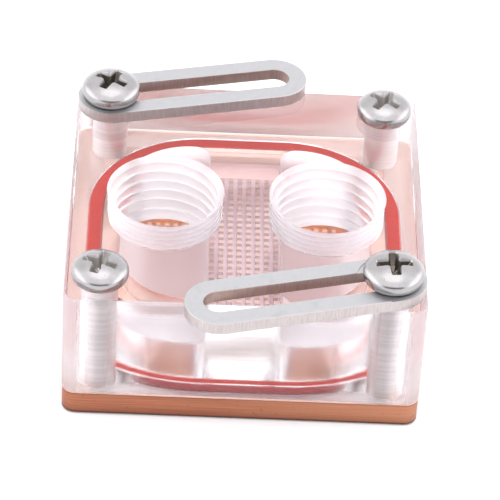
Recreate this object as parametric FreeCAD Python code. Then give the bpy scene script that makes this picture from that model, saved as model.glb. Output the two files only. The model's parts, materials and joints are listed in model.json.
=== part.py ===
"""Liquid cooling cold plate: a copper base with sawn pins under a clear port block, sealed by a ring in
a groove, held by four corner screws, two of which also clamp a slotted mounting arm.

Millimetres. The origin is the middle of the copper's underside, the face that lies on the hot part.
+X runs from the left port to the right port, +Y to the back, +Z up through the ports.
"""

import FreeCAD, Part
import math
import os

from FreeCAD import Rotation, Vector

# Block and base plate outline
block_width = 40.0          # along X
block_depth = 40.0          # along Y
corner_round = 1.5          # upright corners of both pieces
base_thick = 3.0
base_edge_break = 0.25      # bevel round the copper's underside
block_tall = 13.65
block_foot_break = 0.25     # bevel round the clear block's foot

# Corner screws, M3, tapped into the copper
screw_inset = 3.9           # from each side of the block to the screw's axis
shank_dia = 3.0
thread_play = 0.04          # between the shank and the tapped hole, each side
block_hole_play = 0.55      # between the shank and the clear block's hole, each side
plain_head_dia = 6.4
clamp_head_dia = 6.8        # the head that also clamps an arm is wider
head_tall = 2.6
head_rim_tall = 1.1         # upright rim of the head, above its seat
head_dome_flats = 3         # slopes that stand for the dome, from the rim to the top
plain_screw_long = 16.0     # under the head, where it sits on the block
clamp_screw_long = 17.5     # under the head, where it also clamps an arm

# Cross recess in each head
recess_span = 4.15          # tip to tip of the wings at the top
recess_wing = 0.9           # width of a wing
recess_inner_cut = 0.45     # cut across the corner where two wings meet
recess_deep = 1.6
recess_foot_share = 0.55    # how far the recess has narrowed at its foot

# Turn of each recess about its own axis, degrees
turn_front_left = -20.5
turn_front_right = 4.7
turn_back_left = -29.5
turn_back_right = -36.0

# Seal ring and its groove in the clear block's underside
groove_side_wall = 1.85     # from the block's side to the groove
groove_hole_wall = 0.63     # between the groove and a corner screw's hole
groove_deep = 1.2           # less than the cord, so that the ring is squeezed
groove_side_play = 0.08     # between the squeezed ring and each wall of the groove
seal_cord = 1.55            # thickness of the free cord
seal_shoulder = 0.28        # bevel that stands for the round edges of the squeezed ring's section

# Threaded ports
port_spacing = 18.5         # between the two port axes
port_core_dia = 11.45       # across the crests of the thread
port_mouth_dia = 13.4       # across the bevel at the top
port_into_chamber = 0.85    # how far a port's bore runs on below the chamber's roof

# Chambers under the ports, milled into the clear block's underside
rib_width = 8.2             # solid rib between the two chambers, which lies on the pins
chamber_out = 14.2          # from the centre to a chamber's outer wall
chamber_half = 14.0         # from the centre to a chamber's front and back walls
chamber_tall = 5.0
chamber_outer_round = 8.0
chamber_inner_round = 2.0

# Pins and the recess round them in the copper
pool_half = 14.3            # from the centre to each wall of the recess
pool_round = 8.0
pool_deep = 1.5
pin_side = 0.55
pin_pitch = 1.05
pin_rows = 22

# Mounting arms, clamped under two of the heads
arm_thick = 1.5
arm_width = 7.6
arm_slot = 3.4
arm_reach = 19.8            # from the clamp screw to the middle of the far end's round
seat_dia = 8.0              # round seat cut into the arm for the head
seat_sink = 0.1
front_arm_turn = 195.2      # direction of each arm, degrees from +X
back_arm_turn = 13.5

# Worked out from the sizes above
interface = base_thick
block_top = base_thick + block_tall
screw_x = block_width / 2 - screw_inset
screw_y = block_depth / 2 - screw_inset
shank_r = shank_dia / 2
hole_r = shank_r + block_hole_play
head_on_arm = block_top + arm_thick - seat_sink
up = Vector(0, 0, 1)

# The squeezed ring keeps the cord's area, so its width follows from the groove's depth
cord_area = math.pi * seal_cord ** 2 / 4
seal_wide = (cord_area + 2 * seal_shoulder ** 2) / groove_deep
half_band = seal_wide / 2 + groove_side_play
# Middle line of the ring: its distance from the centre at the straight runs, its radius at the corners
seal_half = block_width / 2 - groove_side_wall - half_band
past_screw = math.sqrt(2) * (seal_half - screw_x)
seal_corner = (half_band + hole_r + groove_hole_wall + past_screw) / (math.sqrt(2) - 1)


def rounded_outline(half_x, half_y, corner, z):
    """Closed wire of a rectangle about the centre with four equal round corners, at height z."""
    wire_points = []
    for turn, sx, sy in ((0, 1, 1), (90, -1, 1), (180, -1, -1), (270, 1, -1)):
        middle = Vector(sx * (half_x - corner), sy * (half_y - corner), z)
        start = Rotation(up, turn).multVec(Vector(corner, 0, 0))
        half_way = Rotation(up, turn + 45).multVec(Vector(corner, 0, 0))
        end = Rotation(up, turn + 90).multVec(Vector(corner, 0, 0))
        wire_points.append((middle + start, middle + half_way, middle + end))
    edges = []
    for here, after in zip(wire_points, wire_points[1:] + wire_points[:1]):
        edges.append(Part.Arc(*here).toShape())
        edges.append(Part.makeLine(here[2], after[0]))
    return Part.Wire(edges)


def rounded_block(half_x, half_y, corner, z, tall):
    """Solid with that outline, standing on height z."""
    return Part.Face(rounded_outline(half_x, half_y, corner, z)).extrude(up * tall)


def edges_at(shape, z):
    """Edges of a shape that lie flat at height z."""
    found = []
    for edge in shape.Edges:
        box = edge.BoundBox
        if abs(box.ZMin - z) < 1e-6 and abs(box.ZMax - z) < 1e-6:
            found.append(edge)
    return found


def screw_places():
    """Name, x, y, recess turn and whether an arm lies under the head, for the four corners."""
    return (
        ("screw_front_left", -screw_x, -screw_y, turn_front_left, False),
        ("screw_front_right", screw_x, -screw_y, turn_front_right, True),
        ("screw_back_left", -screw_x, screw_y, turn_back_left, True),
        ("screw_back_right", screw_x, screw_y, turn_back_right, False),
    )


def corner_bores(radius, z, tall):
    """Four upright cylinders on the screw axes."""
    return [Part.makeCylinder(radius, tall, Vector(x, y, z), up) for _, x, y, _, _ in screw_places()]


def base_plate():
    """Copper plate: a recess is milled round a field of square pins that end flush with its top."""
    plate = rounded_block(block_width / 2, block_depth / 2, corner_round, 0, base_thick)
    plate = plate.makeChamfer(base_edge_break, edges_at(plate, 0))
    floor = interface - pool_deep
    pool = rounded_block(pool_half, pool_half, pool_round, floor, pool_deep)
    first = -(pin_rows - 1) * pin_pitch / 2 - pin_side / 2
    pins = []
    for row in range(pin_rows):
        for column in range(pin_rows):
            corner = Vector(first + column * pin_pitch, first + row * pin_pitch, floor)
            pins.append(Part.makeBox(pin_side, pin_side, pool_deep, corner))
    water = pool.cut(Part.makeCompound(pins))
    tapped = corner_bores(shank_r + thread_play, -base_thick, 3 * base_thick)
    return plate.cut([water] + tapped)


def chamber_outline(side):
    """Closed wire of one chamber, on the side of +X (1) or -X (-1), at the joint face."""
    inner = rib_width / 2
    small = chamber_inner_round
    large = chamber_outer_round
    bend = math.sqrt(0.5)
    quarter = (
        (Vector(inner, chamber_half - small, 0), Vector(inner + small, chamber_half, 0),
         Vector(inner + small * (1 - bend), chamber_half - small * (1 - bend), 0)),
        (Vector(chamber_out - large, chamber_half, 0), Vector(chamber_out, chamber_half - large, 0),
         Vector(chamber_out - large * (1 - bend), chamber_half - large * (1 - bend), 0)),
    )

    def place(point, y_sign):
        return Vector(side * point.x, y_sign * point.y, interface)

    (a, b, ab), (c, d, cd) = quarter
    edges = []
    for y_sign in (1, -1):
        edges.append(Part.Arc(place(a, y_sign), place(ab, y_sign), place(b, y_sign)).toShape())
        edges.append(Part.Arc(place(c, y_sign), place(cd, y_sign), place(d, y_sign)).toShape())
        if chamber_out - large - inner - small > 1e-6:
            edges.append(Part.makeLine(place(b, y_sign), place(c, y_sign)))
    edges.append(Part.makeLine(place(a, 1), place(a, -1)))
    edges.append(Part.makeLine(place(d, 1), place(d, -1)))
    return Part.Wire(Part.__sortEdges__(edges))


def port_tool(x):
    """Solid that a port removes: a bore at the thread's core size with a bevelled mouth."""
    core = port_core_dia / 2
    mouth = port_mouth_dia / 2
    bevel = mouth - core
    foot = interface + chamber_tall - port_into_chamber
    profile = Part.makePolygon([
        Vector(0, 0, foot),
        Vector(core, 0, foot),
        Vector(core, 0, block_top - bevel),
        Vector(mouth, 0, block_top),
        Vector(mouth, 0, block_top + bevel),
        Vector(0, 0, block_top + bevel),
        Vector(0, 0, foot),
    ])
    tool = Part.Face(profile).revolve(Vector(0, 0, 0), up, 360)
    tool.translate(Vector(x, 0, 0))
    return tool


def groove_tool():
    """Solid band that the groove removes from the clear block's underside."""
    outer = rounded_block(seal_half + half_band, seal_half + half_band, seal_corner + half_band,
                          interface, groove_deep)
    inner = rounded_block(seal_half - half_band, seal_half - half_band, seal_corner - half_band,
                          interface, groove_deep)
    return outer.cut(inner)


def port_block():
    """Clear block: two threaded ports open into two chambers, which a rib keeps apart over the pins."""
    block = rounded_block(block_width / 2, block_depth / 2, corner_round, interface, block_tall)
    block = block.makeChamfer(block_foot_break, edges_at(block, interface))
    tools = [groove_tool()]
    for side in (-1, 1):
        tools.append(Part.Face(chamber_outline(side)).extrude(up * chamber_tall))
        tools.append(port_tool(side * port_spacing / 2))
    tools += corner_bores(hole_r, 0, 2 * block_top)
    return block.cut(tools)


def seal_section(x, z):
    """Face of the squeezed ring's section, upright in the XZ plane, its middle at x and its foot at z."""
    side = seal_wide / 2
    flat = side - seal_shoulder
    low, high = z + seal_shoulder, z + groove_deep - seal_shoulder
    top = z + groove_deep
    corners = [Vector(x + across, 0, height) for across, height in (
        (-flat, z), (flat, z), (side, low), (side, high),
        (flat, top), (-flat, top), (-side, high), (-side, low))]
    return Part.Face(Part.makePolygon(corners + corners[:1]))


def seal_ring():
    """Soft ring, squeezed flat between the groove's roof and the copper, with round sides."""
    run = seal_half - seal_corner
    quarter = seal_section(seal_corner, interface).revolve(Vector(0, 0, 0), up, 90)
    quarter.translate(Vector(run, run, 0))
    straight = seal_section(seal_half, interface).extrude(Vector(0, 2 * run, 0))
    straight.translate(Vector(0, -run, 0))
    lengths = []
    for turn in (0, 90, 180, 270):
        for length in (quarter, straight):
            copy = length.copy()
            copy.rotate(Vector(0, 0, 0), up, turn)
            lengths.append(copy)
    return lengths[0].fuse(lengths[1:]).removeSplitter()


def tapered_blade(half_long, half_wide):
    """Tool as long and wide as given at the head's top, narrowing to the recess's foot."""
    low = recess_foot_share
    high = 2 - low
    blade = Part.makeWedge(
        -half_long * low, 0, -half_wide * low, -half_wide * high, -half_long * high,
        half_long * low, 2 * recess_deep, half_wide * low, half_wide * high, half_long * high)
    blade.rotate(Vector(0, 0, 0), Vector(1, 0, 0), 90)
    blade.translate(Vector(0, 0, head_tall - recess_deep))
    return blade


def cross_recess():
    """Tools for the cross recess: two blades that cross, and a square that cuts the corners between them."""
    core = (recess_wing + recess_inner_cut) / math.sqrt(2)
    blades = []
    for half_long, half_wide, turn in ((recess_span / 2, recess_wing / 2, 0),
                                       (recess_span / 2, recess_wing / 2, 90), (core, core, 45)):
        blade = tapered_blade(half_long, half_wide)
        blade.rotate(Vector(0, 0, 0), up, turn)
        blades.append(blade)
    return blades


def head(dia):
    """Head standing on height 0: an upright rim, then a dome whose profile is a quarter of an ellipse."""
    rise = head_tall - head_rim_tall
    corners = [Vector(0, 0, 0), Vector(dia / 2, 0, 0)]
    for step in range(head_dome_flats):
        angle = math.pi / 2 * step / head_dome_flats
        corners.append(Vector(dia / 2 * math.cos(angle), 0, head_rim_tall + rise * math.sin(angle)))
    corners.append(Vector(0, 0, head_tall))
    return Part.Face(Part.makePolygon(corners + corners[:1])).revolve(Vector(0, 0, 0), up, 360)


def screw(x, y, turn, on_arm):
    """Dome-head screw with a cross recess; its shank is left plain at the thread's outer size."""
    long = clamp_screw_long if on_arm else plain_screw_long
    shank = Part.makeCylinder(shank_r, long, Vector(0, 0, -long), up)
    dia = clamp_head_dia if on_arm else plain_head_dia
    body = head(dia).fuse(shank).removeSplitter().cut(cross_recess())
    body.rotate(Vector(0, 0, 0), up, turn)
    body.translate(Vector(x, y, head_on_arm if on_arm else block_top))
    return body


def obround(width, reach, z, tall):
    """Solid with a stadium outline: two round ends, the first on the origin, reach apart along +X."""
    r = width / 2
    edges = [
        Part.makeLine(Vector(0, -r, z), Vector(reach, -r, z)),
        Part.Arc(Vector(reach, -r, z), Vector(reach + r, 0, z), Vector(reach, r, z)).toShape(),
        Part.makeLine(Vector(reach, r, z), Vector(0, r, z)),
        Part.Arc(Vector(0, r, z), Vector(-r, 0, z), Vector(0, -r, z)).toShape(),
    ]
    return Part.Face(Part.Wire(edges)).extrude(up * tall)


def arm(x, y, turn):
    """Flat slotted arm on the clear block's top; its slot ends round the screw, under the head's seat."""
    body = obround(arm_width, arm_reach, block_top, arm_thick)
    slot = obround(arm_slot, arm_reach, block_top - arm_thick, 3 * arm_thick)
    seat = Part.makeCylinder(seat_dia / 2, arm_thick, Vector(0, 0, head_on_arm), up)
    body = body.cut([slot, seat])
    body.rotate(Vector(0, 0, 0), up, turn)
    body.translate(Vector(x, y, 0))
    return body


def pieces():
    """Every piece by its node's name."""
    made = {"base_plate": base_plate(), "port_block": port_block(), "seal_ring": seal_ring()}
    for name, x, y, turn, on_arm in screw_places():
        made[name] = screw(x, y, turn, on_arm)
    made["arm_front"] = arm(screw_x, -screw_y, front_arm_turn)
    made["arm_back"] = arm(-screw_x, screw_y, back_arm_turn)
    return made


os.makedirs("parts", exist_ok=True)
for node, shape in pieces().items():
    shape.exportStep(os.path.join("parts", node + ".step"))
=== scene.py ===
import json
import math

import bmesh
import bpy
import numpy as np
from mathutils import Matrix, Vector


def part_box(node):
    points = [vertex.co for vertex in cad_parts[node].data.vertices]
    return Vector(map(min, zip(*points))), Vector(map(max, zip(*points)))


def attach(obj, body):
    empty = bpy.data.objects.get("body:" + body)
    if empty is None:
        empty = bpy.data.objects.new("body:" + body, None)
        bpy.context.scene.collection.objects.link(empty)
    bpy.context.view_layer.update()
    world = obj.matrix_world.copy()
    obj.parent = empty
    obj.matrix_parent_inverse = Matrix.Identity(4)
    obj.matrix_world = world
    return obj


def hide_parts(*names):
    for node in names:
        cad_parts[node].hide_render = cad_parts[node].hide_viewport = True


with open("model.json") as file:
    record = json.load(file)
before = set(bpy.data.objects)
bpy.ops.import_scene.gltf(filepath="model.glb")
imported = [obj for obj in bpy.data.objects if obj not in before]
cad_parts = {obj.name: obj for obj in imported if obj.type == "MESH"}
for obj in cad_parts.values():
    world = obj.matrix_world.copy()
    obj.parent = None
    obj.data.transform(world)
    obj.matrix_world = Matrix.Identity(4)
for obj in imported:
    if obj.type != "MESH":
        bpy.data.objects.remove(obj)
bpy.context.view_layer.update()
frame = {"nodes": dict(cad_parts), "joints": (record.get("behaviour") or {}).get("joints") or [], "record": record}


# ---- Camera -----------------------------------------------------------------------------------------------
# A long lens stands in front of the plate, a little to its left, and looks down at it by 39 degrees.
# It leans over by a few degrees, so the plate's front edge runs slightly downhill to the right.
camera_yaw = math.radians(-2.061)
camera_down = math.radians(38.694)
camera_lean = math.radians(3.584)
camera_aim = np.array([0.647, -3.212, 11.0]) / 1000
camera_off = 0.36384
back = np.array([math.sin(camera_yaw) * math.cos(camera_down), -math.cos(camera_yaw) * math.cos(camera_down),
                 math.sin(camera_down)])
level = np.cross(-back, [0, 0, 1])
level /= np.linalg.norm(level)
rise = np.cross(back, level)
side = level * math.cos(camera_lean) + rise * math.sin(camera_lean)
top = -level * math.sin(camera_lean) + rise * math.cos(camera_lean)

camera = bpy.data.objects.new("camera", bpy.data.cameras.new("camera"))
bpy.context.collection.objects.link(camera)
bpy.context.scene.camera = camera
camera.data.sensor_width = 36
camera.data.lens = 229.12
camera.data.clip_start = 0.01
camera.data.clip_end = 20
stand = np.eye(4)
stand[:3, 0], stand[:3, 1], stand[:3, 2] = side, top, back
stand[:3, 3] = camera_aim + back * camera_off
camera.matrix_world = stand.T.tolist()


# ---- Studio light -----------------------------------------------------------------------------------------
# A white tent over a white floor: lamps behind its roof and its left and right cloths, and the dark room
# behind the camera. Light may turn and pass through walls many times, as the clear block needs.
class Amount:
    """A number, colour or direction on a node's socket. A sign between amounts adds the node that works out
    what they come to."""

    def __init__(self, finish, socket):
        self.finish = finish
        self.socket = socket

    def work(self, sign, first, second):
        """The node for a sign between two numbers, between two vectors, or a vector times a number."""
        amounts = [each for each in (first, second) if isinstance(each, Amount)]
        vectors = [each for each in amounts if each.socket.type != "VALUE"]
        if not vectors:
            return self.finish.add("ShaderNodeMath", {"operation": sign}, {0: first, 1: second})
        if sign == "MULTIPLY" and len(vectors) == 1:
            number = second if vectors[0] is first else first
            return self.finish.add("ShaderNodeVectorMath", {"operation": "SCALE"},
                                   {0: vectors[0], "Scale": number})
        return self.finish.add("ShaderNodeVectorMath", {"operation": sign}, {0: first, 1: second})

    def __add__(self, other):
        return self.work("ADD", self, other)

    def __radd__(self, other):
        return self.work("ADD", other, self)

    def __sub__(self, other):
        return self.work("SUBTRACT", self, other)

    def __rsub__(self, other):
        return self.work("SUBTRACT", other, self)

    def __mul__(self, other):
        return self.work("MULTIPLY", self, other)

    def __rmul__(self, other):
        return self.work("MULTIPLY", other, self)

    def between(self, low, high):
        """0 at or below low, 1 at or above high, with a soft step between them."""
        return self.finish.add("ShaderNodeMapRange", {"interpolation_type": "SMOOTHSTEP"},
                               {"Value": self, "From Min": low, "From Max": high})

    def past(self, near, far):
        """0 within near of nought on either side, 1 beyond far, with a soft step between them."""
        return (self * self).between(near * near, far * far)

    def part(self, name):
        """One part of a direction or a place: X, Y or Z."""
        return self.finish.add("ShaderNodeSeparateXYZ", {}, {0: self}, name)


class Finish:
    """The nodes of one material, or of the light round the scene."""

    def __init__(self, owner):
        owner.use_nodes = True
        self.owner = owner
        self.tree = owner.node_tree

    def add(self, kind, settings, sockets, out=0):
        """A node with its settings made first, then its sockets given values or links; gives its output."""
        node = self.tree.nodes.new(kind)
        for name, setting in settings.items():
            if name == "stops":
                ramp = node.color_ramp
                while len(ramp.elements) < len(setting):
                    ramp.elements.new(0.5)
                for stop, (at, colour) in zip(ramp.elements, setting):
                    stop.position = at
                    stop.color = (*colour, 1)
            else:
                setattr(node, name, setting)
        self.fill(node, sockets)
        return Amount(self, node.outputs[out])

    def fill(self, node, sockets):
        """Gives the named sockets of a node their values, or links them to amounts."""
        for name, given in sockets.items():
            if isinstance(given, Amount):
                self.tree.links.new(given.socket, node.inputs[name])
            else:
                node.inputs[name].default_value = given

    def mix(self, share, low, high):
        """Colour low where share is 0, high where it is 1."""
        node = self.tree.nodes.new("ShaderNodeMix")
        node.data_type = "RGBA"
        low, high = (each if isinstance(each, Amount) else (*each, 1) for each in (low, high))
        self.fill(node, {"Factor": share, 6: low, 7: high})
        return Amount(self, node.outputs[2])

    def place(self):
        """Where a point is, in millimetres, on the piece's own coordinates."""
        return self.add("ShaderNodeTexCoord", {}, {}, "Object") * 1000.0

    def grain(self, place, stretch, detail=2.0, rough=0.5):
        """Noise from 0 to 1 with so many grains per millimetre along X, Y and Z."""
        spread = self.add("ShaderNodeMapping", {}, {"Vector": place, "Scale": stretch})
        return self.add("ShaderNodeTexNoise", {}, {"Vector": spread, "Scale": 1.0, "Detail": detail,
                                                  "Roughness": rough})

    def bump(self, height, strength, reach):
        """Normal of a surface raised by that height, reach in metres for a height of 1."""
        return self.add("ShaderNodeBump", {}, {"Height": height, "Strength": strength, "Distance": reach})


scene = bpy.context.scene
scene.view_settings.view_transform = "Standard"
scene.cycles.max_bounces = 28
scene.cycles.transmission_bounces = 24
scene.cycles.glossy_bounces = 12
scene.cycles.diffuse_bounces = 4
scene.cycles.sample_clamp_indirect = 8
scene.cycles.use_denoising = True

world = bpy.data.worlds.new("tent")
scene.world = world
tent = Finish(world)
toward = tent.add("ShaderNodeTexCoord", {}, {}, "Generated")
height = toward.part("Z")
beside = toward.part("X")
ahead = toward.part("Y")
roof_lamp = height.between(0.90, 0.97)
side_lamps = beside.past(0.707, 0.837) * height.between(0.0, 0.2) * (1.0 - height.between(0.5, 0.7))
far_cloth = ahead.between(0.1, 0.5) * height.between(0.05, 0.25) * (1.0 - height.between(0.8, 0.9))
low_band = height.between(-0.03, 0.05) * (1.0 - height.between(0.3, 0.5))
dark_room = (-1.0 * ahead).between(0.25, 0.5) * (1.0 - beside.past(0.447, 0.671)) * low_band
shine = 1.84 + roof_lamp * 0.8 + side_lamps * 1.1 - far_cloth * 0.38 - dark_room * 1.6
backdrop = world.node_tree.nodes["Background"]
tent.fill(backdrop, {"Color": (1.0, 0.983, 1.01, 1), "Strength": shine})


# ---- Floor ------------------------------------------------------------------------------------------------
# A wide sheet of white card that the plate stands on.
# It is matt, with a faint grain of fibres.
floor_half = 3.0                # metres
floor_level = -0.00002          # just under the copper, so that the two never share a plane
floor_mesh = bpy.data.meshes.new("floor")
floor_mesh.from_pydata([(x * floor_half, y * floor_half, floor_level)
                        for x, y in ((-1, -1), (1, -1), (1, 1), (-1, 1))], [], [(0, 1, 2, 3)])
floor = bpy.data.objects.new("floor", floor_mesh)
bpy.context.collection.objects.link(floor)
card = Finish(bpy.data.materials.new("white_card"))
card_fibre = card.grain(card.place(), (1.5, 1.5, 1.5), 3.0)
card.fill(card.tree.nodes["Principled BSDF"], {
    "Base Color": card.mix(card_fibre, (0.87, 0.87, 0.87), (0.90, 0.90, 0.90)),
    "Roughness": 0.9,
})
floor_mesh.materials.append(card.owner)


# ---- Copper base plate ------------------------------------------------------------------------------------
# One plate of copper, sawn and milled: square pins stand in a recess and end level with its top.
# Its sides are brushed along their length, and it is bare, with a thin brown bloom; painted shade darkens its
# foot.
copper_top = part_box("base_plate")[1][2] * 1000
copper = Finish(bpy.data.materials.new("bare_copper"))
spot = copper.place()
across, along, above = (spot.part(name) for name in "XYZ")
upward = copper.add("ShaderNodeNewGeometry", {}, {}, "Normal").part("Z").between(0.5, 0.8)
inside_seal = (1.0 - across.past(14.56, 14.83)) * (1.0 - along.past(14.56, 14.83))
outer_side = (1.0 - inside_seal) * (1.0 - upward)
side_lines = copper.grain(spot, (0.12, 0.12, 9.0), 4.0, 0.6)
top_lines = copper.grain(spot, (0.1, 7.0, 1.0), 3.0, 0.6)
bloom = copper.grain(spot, (0.09, 0.09, 0.09), 3.0, 0.55)
specks = copper.grain(spot, (1.4, 1.4, 1.4), 2.0)
lines = side_lines * outer_side + top_lines * (1.0 - outer_side)

# The sides, brushed; painted light pales them to the right, painted shade darkens the foot and just under the
# block.
brushed = copper.mix(side_lines.between(0.2, 0.8), (0.29, 0.105, 0.057), (0.49, 0.205, 0.125))
paler = copper.mix(across.between(-12, 20) * 0.35, brushed, (0.62, 0.33, 0.20))
stained = copper.mix(specks.between(0.62, 0.76) * 0.5, paler, (0.16, 0.07, 0.05))
shaded = copper.mix(above.between(0.2, 1.9) * 0.4 + 0.6, (0.16, 0.06, 0.035), stained)
unshaded_middle = above.between(0.25, 0.6) * (1.0 - above.between(copper_top - 0.2, copper_top - 0.05) * 0.6)
side_copper = copper.mix(unshaded_middle, (0.09, 0.035, 0.028), shaded)

# The milled top. Inside the seal: the pins' tops, with painted shade under the block, the sunk floor, and the
# walls.
milled = copper.mix(top_lines, (0.83, 0.565, 0.475), (0.96, 0.715, 0.625))
bloomed = copper.mix(bloom.between(0.45, 0.75) * 0.35, milled, (0.78, 0.52, 0.45))
pin_tops = copper.mix(inside_seal * 0.4, bloomed, (0.62, 0.40, 0.36))
sunk = (copper_top - 0.02 - above).between(0.0, 0.05) * inside_seal
by_pins = along.between(-11.6, -11.5) * (1.0 - along.between(13.2, 13.4))
pin_field = by_pins * (1.0 - across.past(11.49, 11.75))
# Painted light: the floor and walls between the pins are painted pale and made less metallic, so the gaps read
# light.
painted_gap_light = sunk * pin_field * (1.0 - upward)
recess_floor = copper.mix(pin_field, (0.97, 0.82, 0.79), (0.83, 0.67, 0.69))
recess_walls = copper.mix(pin_field, (0.98, 0.84, 0.82), (0.98, 0.85, 0.86))
levelled = copper.mix(sunk, pin_tops, copper.mix(upward, recess_walls, recess_floor))
# Painted light: the copper seen through the open ports, by their back walls, is redder. The chambers' fronts are
# also redder.
by_ports = along.between(10.6, 11.2) * across.past(4.0, 4.9) * inside_seal
by_front = (1.0 - along.between(-9.5, -6.5)) * across.past(4.47, 5.48) * inside_seal
tinted = copper.mix(by_ports * 0.8, levelled, (0.84, 0.50, 0.34))
top_copper = copper.mix(by_front * 0.6, tinted, (0.90, 0.57, 0.40))

copper.fill(copper.tree.nodes["Principled BSDF"], {
    "Base Color": copper.mix(outer_side, top_copper, side_copper),
    "Metallic": 1.0 - painted_gap_light * 0.7,
    "Roughness": 0.32 + lines * 0.16,
    "Normal": copper.bump(lines, 0.5, 0.00001),
})
plate = frame["nodes"]["base_plate"]
plate.data.materials.clear()
plate.data.materials.append(copper.owner)


# ---- Seal ring --------------------------------------------------------------------------------------------
# A soft red silicone cord, joined to a ring and pressed flat in its groove between the clear block and the
# copper. Its edges stay round, and its flat top and foot lie against what they seal.
def rounded_square(half, corner, steps):
    """Points and outward directions along a square path with round corners: each corner is a quarter circle
    about its own centre, half less corner from the middle, and straight runs join one quarter to the next."""
    angle = np.concatenate([np.linspace(quarter, quarter + 90, steps) for quarter in (0, 90, 180, 270)])
    outward = np.stack([np.cos(np.radians(angle)), np.sin(np.radians(angle))], axis=1)
    centre = np.repeat(np.array([(1, 1), (-1, 1), (-1, -1), (1, -1)]), steps, axis=0) * (half - corner)
    return centre + outward * corner, outward


def carried(section, path, outward):
    """Grid of points of a section carried along a path: each section point stands its first number away from
    the path along the outward direction, and at the height of its second number."""
    flat = path[:, None, :] + outward[:, None, :] * section[None, :, :1]
    standing = np.broadcast_to(section[None, :, 1:], flat.shape[:2] + (1,))
    return np.concatenate([flat, standing], axis=2)


def shell(name, grid, ring=False):
    """Closed surface over a grid of points in millimetres: neighbours are joined by quads, the columns close
    round, and the rows either close too, for a ring, or end in two flat faces. Its faces point outwards."""
    rows, columns = grid.shape[:2]
    number = np.arange(rows * columns).reshape(rows, columns)
    ends = [] if ring else [number[0].tolist(), number[-1].tolist()]
    if ring:
        number = np.vstack([number, number[:1]])
    following = np.roll(number, -1, axis=1)
    quads = np.stack([number[:-1], following[:-1], following[1:], number[1:]], axis=-1).reshape(-1, 4)
    mesh = bpy.data.meshes.new(name)
    mesh.from_pydata(grid.reshape(-1, 3) / 1000, [], quads.tolist() + ends)
    turner = bmesh.new()
    turner.from_mesh(mesh)
    bmesh.ops.recalc_face_normals(turner, faces=turner.faces)
    turner.to_mesh(mesh)
    turner.free()
    piece = bpy.data.objects.new(name, mesh)
    bpy.context.collection.objects.link(piece)
    return piece


def smooth(piece, angle):
    """Rounds the shading of a piece, and keeps edges sharper than that angle crisp."""
    piece.data.shade_smooth()
    piece.data.set_sharp_from_angle(angle=math.radians(angle))


block_low, block_high = np.array(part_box("port_block")) * 1000
joint_level = block_low[2]
ring_high = np.array(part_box("seal_ring")[1]) * 1000
groove_deep = ring_high[2] - joint_level
cord_wide = 1.703               # as squeezed
cord_half = ring_high[0] - cord_wide / 2
cord_corner = 12.538            # radius of its middle line at the block's corners
press = 0.02                    # past its groove's roof and the copper's top, so that it touches both
shoulder = 0.28                 # radius of its section's round corners
quarter = np.radians(np.linspace(0, 90, 5))
round_edge = np.stack([np.cos(quarter) - 1, np.sin(quarter) - 1], axis=1) * shoulder
upper_edge = round_edge + [cord_wide / 2, groove_deep / 2 + press]
right_side = np.concatenate([upper_edge[::-1] * [1, -1], upper_edge])[::-1]
cord_section = np.concatenate([right_side, -right_side]) + [0, joint_level + groove_deep / 2]
seal_path = rounded_square(cord_half, cord_corner, 40)
seal = shell("seal_ring_pressed", carried(cord_section, *seal_path), ring=True)
smooth(seal, 40)

rubber = Finish(bpy.data.materials.new("red_silicone"))
rubber_spot = rubber.place()
cloudy = rubber.grain(rubber_spot, (0.8, 0.8, 0.8), 3.0)
dust = rubber.grain(rubber_spot, (6.0, 6.0, 6.0), 1.0)
rubber_side = 1.0 - rubber.add("ShaderNodeNewGeometry", {}, {}, "Normal").part("Z").between(0.3, 0.8)
red = rubber.mix(cloudy, (0.55, 0.02, 0.01), (0.68, 0.045, 0.025))
# Painted shade: the cord's sides and foot are a darker red than its top.
shaded_side_red = rubber.mix(rubber_side * 0.6, red, (0.30, 0.015, 0.03))
rubber.fill(rubber.tree.nodes["Principled BSDF"], {
    "Base Color": rubber.mix(dust.between(0.7, 0.8) * 0.3, shaded_side_red, (0.85, 0.45, 0.40)),
    "Roughness": 0.45 + cloudy * 0.2,
    "Specular IOR Level": 0.2,
    "Normal": rubber.bump(dust, 0.3, 0.00002),
})
seal.data.materials.append(rubber.owner)
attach(seal, "block")
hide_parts("seal_ring")


# ---- Clear port block -------------------------------------------------------------------------------------
# Cut from clear acrylic plate: the top is polished, the sides are sawn or sanded, and what a drill or a tap
# has opened stays frosted. Two ports, tapped with a quarter-inch pipe thread, open into two milled chambers.
film = 0.02                     # of air between the block and what lies against it
foot_break = 0.25               # bevels round the block's foot and its top
top_break = 0.06
block_corner = 1.5              # radius of its upright corners
block_half = block_high[0]
block_top = block_high[2]


def turned(radius, height, columns):
    """Grid of a round form about the upright axis: X is the radius times the angle's cosine, Y is the radius
    times its sine, and Z is the height. The radius is given for each height, or for each height and angle."""
    angle = np.linspace(0, 2 * np.pi, columns, endpoint=False)
    reach = np.repeat(radius[:, None], columns, axis=1) if np.ndim(radius) == 1 else radius
    standing = np.repeat(height[:, None], columns, axis=1)
    return np.stack([reach * np.cos(angle), reach * np.sin(angle), standing], axis=2)


def upright(outline, *levels):
    """Grid of an outline that stands from level to level."""
    return np.stack([np.insert(outline, 2, level, axis=1) for level in levels])


def cut(piece, tools):
    """The piece with the tools taken out of it; the walls that they leave keep the tools' material."""
    for tool in tools:
        bite = piece.modifiers.new("bite", "BOOLEAN")
        bite.operation = "DIFFERENCE"
        bite.solver = "EXACT"
        bite.material_mode = "TRANSFER"
        bite.object = tool
    whole = bpy.data.meshes.new_from_object(piece.evaluated_get(bpy.context.evaluated_depsgraph_get()))
    piece.modifiers.clear()
    piece.data = whole
    for tool in tools:
        bpy.data.objects.remove(tool)


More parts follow.
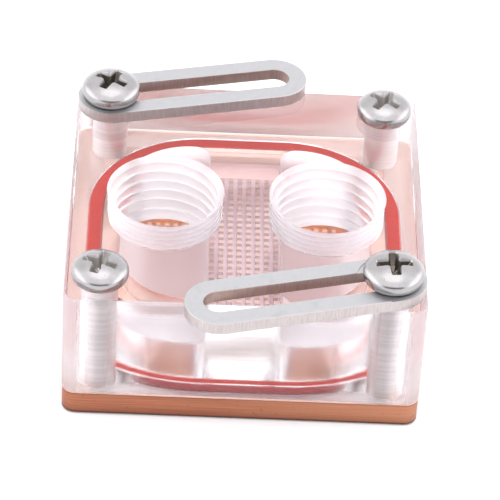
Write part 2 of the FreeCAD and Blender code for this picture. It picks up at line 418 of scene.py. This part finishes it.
def clear_finish(name, share):
    """Clear acrylic: the share of light that a surface lets through, and the rest that its frost scatters."""
    finish = Finish(bpy.data.materials.new(name))
    finish.fill(finish.tree.nodes["Principled BSDF"], {"IOR": 1.49, "Transmission Weight": share})
    return finish


polished = clear_finish("polished_acrylic", 1.0)
polished_spot = polished.place()
off_x, off_y, off_z = (polished_spot.part(name) for name in "XYZ")
haze = polished.grain(polished_spot, (0.25, 0.25, 0.25), 3.0)
sawn_lines = polished.grain(polished_spot, (0.03, 0.03, 4.0), 3.0, 0.65)
sanding = polished.grain(polished_spot, (7.0, 7.0, 7.0), 2.0)
tilt = polished.add("ShaderNodeNewGeometry", {}, {}, "Normal").part("Z")
upright_side = 1.0 - tilt.past(0.224, 0.548)
left_right, back_side = off_x.past(18.30, 18.76), off_y.between(19.1, 19.6)
corner = left_right * off_y.past(18.30, 18.76)
top_bevel = tilt.past(0.447, 0.632) * (1.0 - tilt.past(0.837, 0.949)) * off_z.between(10, 11)
# A margin of the underside outside the seal is rough as sawn, and so is the fine bevel round the top.
underside = (joint_level + 0.2 - off_z).between(0.0, 0.1)
foot_margin = (off_x.past(16.12, 17.03) + off_y.past(16.12, 17.03)) * underside
saw_and_sand = sawn_lines * (1.0 - back_side * 0.5 - left_right) + sanding * left_right * 0.3
polished.fill(polished.tree.nodes["Principled BSDF"], {
    "Base Color": polished.mix(haze, (0.975, 0.955, 0.967), (0.994, 0.978, 0.986)),
    "Roughness": haze.between(0.5, 0.9) * 0.03 + foot_margin * 0.6 + top_bevel * 0.6
    + upright_side * (0.19 + left_right * 0.46 + back_side * 0.19),
    "Normal": polished.bump(saw_and_sand * upright_side * (1.0 - corner), 0.6, 0.00003),
})

milled_clear = clear_finish("milled_acrylic", 1.0)
milled_spot = milled_clear.place()
mill_lines = milled_clear.grain(milled_spot, (0.4, 0.4, 5.0), 3.0)
milled_x, milled_y = milled_spot.part("X"), milled_spot.part("Y")
in_chamber = (1.0 - milled_x.past(14.32, 15.0)) * (1.0 - milled_y.past(14.14, 14.83))
milled_clear.fill(milled_clear.tree.nodes["Principled BSDF"], {
    "Base Color": milled_clear.mix(mill_lines, (0.98, 0.96, 0.975), (1.0, 0.985, 0.995)),
    "Roughness": 0.10 + in_chamber * (0.2 + mill_lines * 0.08),
    "Normal": milled_clear.bump(mill_lines, 0.1, 0.00001),
})

frosted = clear_finish("frosted_acrylic", 0.74)
frosted_spot = frosted.place()
# A drill's feed marks run round the walls of the four screw holes.
in_hole = frosted_spot.part("X").past(12.65, 14.14) * frosted_spot.part("Y").past(10.95, 12.25)
cutter_marks = frosted.grain(frosted_spot, (1.2, 1.2, 6.0), 3.0)
feed_marks = frosted.grain(frosted_spot, (0.02, 0.02, 4.2), 1.0, 0.6).between(0.4, 0.6) * in_hole
frost = frosted.mix(cutter_marks, (0.93, 0.90, 0.925), (0.97, 0.94, 0.962))
frosted.fill(frosted.tree.nodes["Principled BSDF"], {
    "Base Color": frosted.mix(feed_marks, frost, (0.76, 0.745, 0.74)),
    "Roughness": 0.4 + cutter_marks * 0.1,
    "Normal": frosted.bump(cutter_marks * (1.0 - in_hole), 0.15, 0.00002),
})

levels_and_insets = [(joint_level + film, foot_break), (joint_level + foot_break, 0.0),
                     (block_top - top_break, 0.0), (block_top, top_break)]
block = shell("clear_port_block", np.concatenate([
    upright(rounded_square(block_half - inset, block_corner - inset, 13)[0], level)
    for level, inset in levels_and_insets]))
block.data.materials.append(polished.owner)

below = joint_level - 0.5       # where each tool starts, under the block's foot
band = cord_wide / 2 + 0.08     # half the groove's width
groove_roof = joint_level + groove_deep
groove_section = np.array([(band, below), (band, groove_roof), (-band, groove_roof), (-band, below)])
groove = shell("groove_tool", carried(groove_section, *seal_path), ring=True)

chamber_tall = 5.0
chamber_half = 14.0
chamber_inner, chamber_outer = 4.1, 14.2
chamber_middle = (chamber_inner + chamber_outer) / 2
inner_round, outer_round = 2.0, 8.0


def chamber_outline(sign):
    """Outline of one chamber: four quarter circles, small ones at the rib and large ones outside, each about
    a centre that lies inwards of its corner by its radius."""
    quarters = []
    for quarter, radius, x, y in ((0, outer_round, chamber_outer, chamber_half),
                                  (90, inner_round, chamber_inner, chamber_half),
                                  (180, inner_round, chamber_inner, -chamber_half),
                                  (270, outer_round, chamber_outer, -chamber_half)):
        angle = np.radians(np.linspace(quarter, quarter + 90, 25))
        centre = np.array([x - radius * np.sign(x - chamber_middle), y - radius * np.sign(y)])
        quarters.append(centre + radius * np.stack([np.cos(angle), np.sin(angle)], axis=1))
    return np.concatenate(quarters) * [sign, 1]


chambers = [shell("chamber_tool", upright(chamber_outline(sign), below, joint_level + chamber_tall))
            for sign in (-1, 1)]

port_x = 9.25
port_foot = 7.15                # below the chamber's roof
thread_foot = 8.25
thread_pitch = 1.337
thread_core = 5.725             # radius across its crests
thread_deep = 0.856
crest_round = 0.86              # 1 for a sharp triangle, near 0 for a sine
mouth_radius = 6.7              # of the bevel at the top


def tapped_port(x):
    """A tap's shape: the radius is the core's plus the thread's wave, which runs up one pitch in each turn.
    The wave is a rounded triangle, the arcsine of a slightly lowered cosine. It fades in at the thread's
    foot, and the mouth's cone takes over where it is wider."""
    height = np.arange(port_foot, block_top + 0.4, thread_pitch / 32)
    angle = np.linspace(0, 2 * np.pi, 96, endpoint=False)
    turn = height[:, None] / thread_pitch - angle[None, :] / (2 * np.pi)
    wave = 0.5 - 0.5 * np.arcsin(crest_round * np.cos(2 * np.pi * turn)) / math.asin(crest_round)
    fade = np.clip((height[:, None] - thread_foot) / thread_pitch, 0, 1)
    radius = thread_core + thread_deep * wave * fade
    mouth = mouth_radius - (block_top - height[:, None])
    grid = turned(np.maximum(radius, mouth), height, 96)
    return shell("port_tool", grid + [x, 0, 0])


ports = [tapped_port(-port_x), tapped_port(port_x)]

screw_names = ("screw_front_left", "screw_front_right", "screw_back_left", "screw_back_right")
screw_axes = {name: np.mean(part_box(name), axis=0)[:2] * 1000 for name in screw_names}
hole_radius = 2.05
hole_levels = np.array([below, block_top + 0.5])
holes = [shell("hole_tool", turned(np.full(2, hole_radius), hole_levels, 64) + [*screw_axes[name], 0])
         for name in screw_names]

for tool in [groove, *chambers]:
    tool.data.materials.append(milled_clear.owner)
for tool in [*ports, *holes]:
    tool.data.materials.append(frosted.owner)
cut(block, [groove, *chambers, *ports, *holes])
smooth(block, 44)
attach(block, "block")
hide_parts("port_block")


# ---- Mounting arms ----------------------------------------------------------------------------------------
# Laser-cut from satin steel sheet, one long slot in each. A round seat is sunk where the screw's head clamps
# it. Its faces keep the rolled satin, and its cut edges carry the fine upright lines of the cut.
arm_thick = 1.5
arm_width = 7.59
arm_slot = 3.4
seat_radius = 4.0
seat_sunk = 0.1
edge_break = 0.06

satin = Finish(bpy.data.materials.new("satin_steel"))
satin_spot = satin.place()
flat_face = satin.add("ShaderNodeNewGeometry", {}, {}, "Normal").part("Z").between(0.6, 0.9)
rolled = satin.grain(satin_spot, (2.0, 2.0, 2.0), 4.0, 0.65)
cut_lines = satin.grain(satin_spot, (9.0, 9.0, 0.6), 4.0, 0.65)
stain = satin.grain(satin_spot, (0.5, 0.5, 0.5), 2.0).between(0.62, 0.78)
rolled_steel = satin.mix(rolled, (0.42, 0.425, 0.435), (0.51, 0.515, 0.52))
face_steel = satin.mix(stain * 0.3, rolled_steel, (0.30, 0.29, 0.29))
inside_slot = satin.add("ShaderNodeAttribute", {"attribute_name": "inside_slot"}, {}, "Fac")
outside_steel = satin.mix(cut_lines, (0.29, 0.25, 0.24), (0.70, 0.66, 0.65))
# Painted reflection and shade: the cut walls inside each slot are a darker brown than the outer edges.
slot_reflection_and_shade = satin.mix(cut_lines, (0.16, 0.085, 0.06), (0.46, 0.30, 0.24))
edge_steel = satin.mix(inside_slot * 0.65, outside_steel, slot_reflection_and_shade)
satin.fill(satin.tree.nodes["Principled BSDF"], {
    "Base Color": satin.mix(flat_face, edge_steel, face_steel),
    "Metallic": 1.0,
    "Roughness": 0.36 + rolled * 0.1 + (1.0 - flat_face) * 0.08,
    "Normal": satin.bump(rolled * flat_face * 0.4 + cut_lines * (1.0 - flat_face), 0.6, 0.00003),
})

joints = {joint["name"]: joint for joint in frame["joints"]}
mounts = {mount["name"]: mount for mount in frame["record"]["mounts"]}
end_steps = 49                  # points round each end of an arm
strip_half = (arm_width - arm_slot) / 4
strip_middle = (arm_width + arm_slot) / 4
arm_foot, arm_face = block_top + film, block_top + arm_thick
strip_side = np.array([(strip_half - edge_break, arm_foot), (strip_half, arm_foot + edge_break),
                       (strip_half, arm_face - edge_break), (strip_half - edge_break, arm_face)])
strip = np.concatenate([strip_side, strip_side[::-1] * [-1, 1]])
for which in ("front", "back"):
    pivot = np.array(joints[which + "_arm_swing"]["pos_m"])[:2] * 1000
    far = np.array(mounts[which + "_arm_slot"]["pos_m"])[:2] * 1000
    aim = math.atan2(*(far - pivot)[::-1])
    ends = np.concatenate([np.linspace(-90, 90, end_steps), np.linspace(90, 270, end_steps)])
    angle = np.radians(ends) + aim
    outward = np.stack([np.cos(angle), np.sin(angle)], axis=1)
    centre = np.repeat([far, pivot], end_steps, axis=0)
    arm_path = centre + outward * strip_middle
    arm = shell("arm_" + which + "_steel", carried(strip, arm_path, outward), ring=True)
    arm.data.materials.append(satin.owner)
    slot_wall = np.tile(strip[:, 0] < 0, 2 * end_steps)
    arm.data.attributes.new("inside_slot", "FLOAT", "POINT").data.foreach_set("value", slot_wall)
    seat_levels = np.array([arm_face - seat_sunk, arm_face + 1])
    seat = shell("seat_tool", turned(np.full(2, seat_radius), seat_levels, 96) + [*pivot, 0])
    seat.data.materials.append(satin.owner)
    cut(arm, [seat])
    smooth(arm, 30)
    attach(arm, which + "_arm")
    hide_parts("arm_" + which)


# ---- Corner screws ----------------------------------------------------------------------------------------
# Bright plated steel M3 screws with domed pan heads, cold-headed with a cross recess and rolled threads.
# They go down through the clear block into the copper; two with wider heads hold the arms under them.
head_tall = 2.53
head_rim = 0.95                 # from the seat to the widest ring of the dome
under_round = 0.45
plain_head_radius, clamp_head_radius = 3.2, 3.4
dome_power = 2 / 2.1            # a little fuller than an ellipse
recess_deep = 1.6
recess_tip = 0.25               # of the pointed floor, below that
recess_bevel = 0.45
thread_start, thread_end = 0.4, 0.8     # how far a thread takes to fade in at the foot and out at the head
screw_turn = {"screw_front_left": -20.5, "screw_front_right": 4.7, "screw_back_left": -29.5,
              "screw_back_right": -36}
screw_pitch = 0.5
screw_core = 1.2
screw_radius = 1.5

plated = Finish(bpy.data.materials.new("bright_plating"))
plated_spot = plated.place()
cloud = plated.grain(plated_spot, (0.9, 0.9, 0.9), 3.0, 0.6)
pits = plated.grain(plated_spot, (5.0, 5.0, 5.0), 2.0, 0.6)
# Painted light: below the block's top the shanks are painted much paler than the heads.
painted_light_in_block = (block_top - plated_spot.part("Z")).between(0.0, 0.05)
plating = plated.mix(cloud, (0.31, 0.305, 0.305), (0.44, 0.43, 0.43))
pitted = plated.mix(pits.between(0.6, 0.8) * 0.45, plating, (0.17, 0.155, 0.155))
plated.fill(plated.tree.nodes["Principled BSDF"], {
    "Base Color": plated.mix(painted_light_in_block, pitted, (0.72, 0.70, 0.69)),
    "Metallic": 1.0,
    "Roughness": 0.15 + cloud * 0.14,
    "Normal": plated.bump(pits + cloud, 0.3, 0.00002),
})

# The clamp screws' recesses, on the corners where X times Y is below nought, are painted darker.
punched = Finish(bpy.data.materials.new("punched_recess"))
punched_spot = punched.place()
drag = punched.grain(punched_spot, (2.5, 2.5, 8.0), 3.0, 0.6)
clamp_corner = (punched_spot.part("X") * punched_spot.part("Y") * -1.0).between(-50, 50)
bevel_foot = block_top + head_tall - recess_bevel
# Painted highlight: the bevel round each recess's mouth is painted pale grey.
bevel_highlight = (punched_spot.part("Z") - bevel_foot - clamp_corner * (arm_thick - seat_sunk)).between(-0.04, 0.0)
dark_steel = punched.mix(clamp_corner, (0.30, 0.28, 0.265), (0.10, 0.085, 0.07))
light_steel = punched.mix(clamp_corner, (0.56, 0.54, 0.53), (0.25, 0.225, 0.20))
punched.fill(punched.tree.nodes["Principled BSDF"], {
    "Base Color": punched.mix(bevel_highlight, punched.mix(drag, dark_steel, light_steel), (0.62, 0.62, 0.62)),
    "Metallic": 1.0,
    "Roughness": 0.28 + drag * 0.2,
    "Normal": punched.bump(drag, 0.4, 0.00003),
})


def cross_outline(wider):
    """Outline of a cross, moved out by so much: four wings, and a quarter circle between each two wings."""
    tip, half, corner = 1.98 + wider, 0.48 + wider, 0.42 - wider
    arc = np.radians(np.linspace(-90, -180, 9))
    bend = np.stack([half + corner + corner * np.cos(arc), half + corner + corner * np.sin(arc)], axis=1)
    blunt = [(tip - 0.12, -half), (tip, -half + 0.12), (tip, half - 0.12), (tip - 0.12, half)]
    wing = np.concatenate([blunt, bend])
    quarter = np.array([[0, 1], [-1, 0]])
    return np.concatenate([wing @ np.linalg.matrix_power(quarter, turns) for turns in range(4)])


for name in screw_names:
    x, y = screw_axes[name]
    screw_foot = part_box(name)[0][2] * 1000
    clamps = name in ("screw_front_right", "screw_back_left")
    head_radius = clamp_head_radius if clamps else plain_head_radius
    seat_level = block_top + (arm_thick - seat_sunk if clamps else 0) + film
    dome_tall = head_tall - film - head_rim
    under = np.radians(np.linspace(0, 90, 9))
    rise = np.radians(np.linspace(0, 88, 30))
    edge_radius, edge_height = head_radius - under_round * (1 - np.sin(under)), head_rim * (1 - np.cos(under))
    dome_radius = head_radius * np.cos(rise) ** dome_power
    dome_height = head_rim + dome_tall * np.sin(rise) ** dome_power
    radius = np.concatenate([[screw_radius], edge_radius, dome_radius])
    height = np.concatenate([[0], edge_height, dome_height])
    head = shell("head", turned(radius, height + seat_level, 96) + [x, y, 0])
    head.data.materials.append(plated.owner)
    turn = math.radians(screw_turn[name])
    swing = np.array([[math.cos(turn), math.sin(turn)], [-math.sin(turn), math.cos(turn)]])
    crown = seat_level + head_tall - film
    recess_rows = [(cross_outline(0) * 0.15, crown - recess_deep - recess_tip),
                   (cross_outline(0) * 0.58, crown - recess_deep),
                   (cross_outline(0), crown - recess_bevel),
                   (cross_outline(0.3), crown + 0.4)]
    rows = [upright(outline @ swing, level) for outline, level in recess_rows]
    recess = shell("recess_tool", np.concatenate(rows) + [x, y, 0])
    recess.data.materials.append(punched.owner)
    cut(head, [recess])

    length = seat_level - screw_foot
    height = np.arange(0, length, screw_pitch / 8)[::-1]
    angle = np.linspace(0, 2 * np.pi, 32, endpoint=False)
    wave = 0.5 + 0.5 * np.cos(2 * np.pi * (height[:, None] / screw_pitch - angle[None, :] / (2 * np.pi)))
    fade = (np.clip(height / thread_start, 0, 1) * np.clip((length - height) / thread_end, 0, 1))[:, None]
    thread = screw_core + (screw_radius - screw_core) * wave * fade
    shank = shell("shank", turned(thread, screw_foot + height, 32) + [x, y, 0])
    shank.data.materials.append(plated.owner)

    for piece, angle_kept in ((head, 35), (shank, 80)):
        smooth(piece, angle_kept)
        piece.name = name + ("_head" if piece is head else "_shank")
        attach(piece, "block")
    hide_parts(name)
